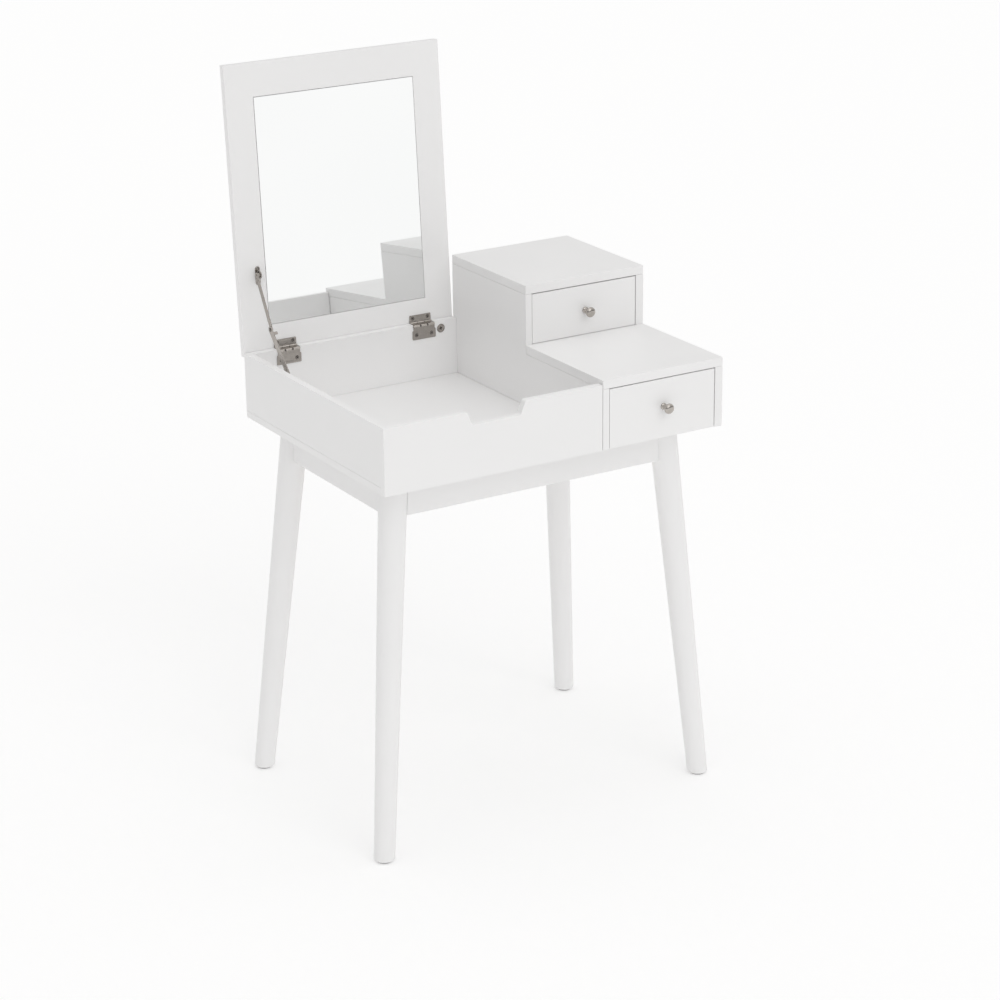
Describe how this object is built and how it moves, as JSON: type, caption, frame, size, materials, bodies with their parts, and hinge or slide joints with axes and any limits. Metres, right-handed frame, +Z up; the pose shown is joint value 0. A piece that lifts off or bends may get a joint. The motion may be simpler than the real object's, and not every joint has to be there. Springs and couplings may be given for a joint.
{
  "type": "vanity table with mirror",
  "caption": "Dressing table on four splayed round legs with a flip-up mirror lid over a storage bay, a stepped drawer stack at the right and a folding lid stay.",
  "frame": {"origin": "centre of the bounding box on the floor, with the lid open", "axes": "+X to the right as the sitter sees it, +Y to the back, +Z up"},
  "size_m": [0.65, 0.5336, 1.2182],
  "materials": {
    "painted_board": "white satin paint on fibreboard and turned wood",
    "nickel": "satin nickel plate",
    "mirror": "silvered float glass, ground edge",
    "hardboard": "white faced hardboard",
    "bare_wood": "unpainted sawn beech",
    "nylon": "grey moulded glide"
  },
  "bodies": {
    "carcass": {"bottom_panel": "painted_board", "left_side_panel": "painted_board", "storage_front_panel": "painted_board", "storage_back_panel": "painted_board", "centre_partition": "painted_board", "right_side_panel": "painted_board", "lower_top_panel": "painted_board", "upper_top_panel": "painted_board", "drawer_back_panel": "painted_board", "cam_lock": "nickel", "left_hinge_lower_leaf": "nickel", "right_hinge_lower_leaf": "nickel", "left_hinge_pin": "nickel", "right_hinge_pin": "nickel", "stay_side_bracket": "nickel", "front_apron": "painted_board", "back_apron": "painted_board", "left_apron": "painted_board", "right_apron": "painted_board", "front_left_leg": "painted_board", "front_left_glide": "nylon", "front_left_corner_brace": "bare_wood", "front_right_leg": "painted_board", "front_right_glide": "nylon", "front_right_corner_brace": "bare_wood", "back_left_leg": "painted_board", "back_left_glide": "nylon", "back_left_corner_brace": "bare_wood", "back_right_leg": "painted_board", "back_right_glide": "nylon", "back_right_corner_brace": "bare_wood", "left_hinge_back_screw_outer": "nickel", "left_hinge_back_screw_inner": "nickel", "right_hinge_back_screw_outer": "nickel", "right_hinge_back_screw_inner": "nickel"},
    "lid": {"lid_board": "painted_board", "mirror_glass": "mirror", "left_hinge_upper_leaf": "nickel", "right_hinge_upper_leaf": "nickel", "stay_lid_bracket": "nickel", "left_hinge_lid_screw_outer": "nickel", "left_hinge_lid_screw_inner": "nickel", "right_hinge_lid_screw_outer": "nickel", "right_hinge_lid_screw_inner": "nickel"},
    "stay_upper": {"stay_upper_arm": "nickel", "stay_elbow_rivet": "nickel"},
    "stay_lower": {"stay_lower_arm": "nickel"},
    "upper_drawer": {"upper_drawer_front": "painted_board", "upper_drawer_left_side": "painted_board", "upper_drawer_right_side": "painted_board", "upper_drawer_back": "painted_board", "upper_drawer_bottom": "hardboard", "upper_drawer_knob": "nickel"},
    "lower_drawer": {"lower_drawer_front": "painted_board", "lower_drawer_left_side": "painted_board", "lower_drawer_right_side": "painted_board", "lower_drawer_back": "painted_board", "lower_drawer_bottom": "hardboard", "lower_drawer_knob": "nickel"}
  },
  "joints": [
    {"name": "lid_hinge", "type": "hinge", "parent": "carcass", "child": "lid", "pos_m": [-0.109, 0.21963, 0.7475], "axis": [1, 0, 0], "range_deg": [0, 94.09]},
    {"name": "stay_upper_pivot", "type": "hinge", "parent": "lid", "child": "stay_upper", "pos_m": [-0.2875, 0.21836, 0.87692], "axis": [1, 0, 0], "range_deg": [-127.8, 0]},
    {"name": "stay_elbow", "type": "hinge", "parent": "stay_upper", "child": "stay_lower", "pos_m": [-0.2884, 0.17172, 0.79646], "axis": [1, 0, 0], "range_deg": [0, 182.9]},
    {"name": "upper_drawer_slide", "type": "slide", "parent": "carcass", "child": "upper_drawer", "axis": [0, -1, 0], "range_m": [0, 0.15]},
    {"name": "lower_drawer_slide", "type": "slide", "parent": "carcass", "child": "lower_drawer", "axis": [0, -1, 0], "range_m": [0, 0.3]}
  ],
  "couplings": [
    {"joint": "stay_upper_pivot", "follows": "lid_hinge", "ratio": -1.3575},
    {"joint": "stay_elbow", "follows": "lid_hinge", "ratio": 1.9432}
  ]
}
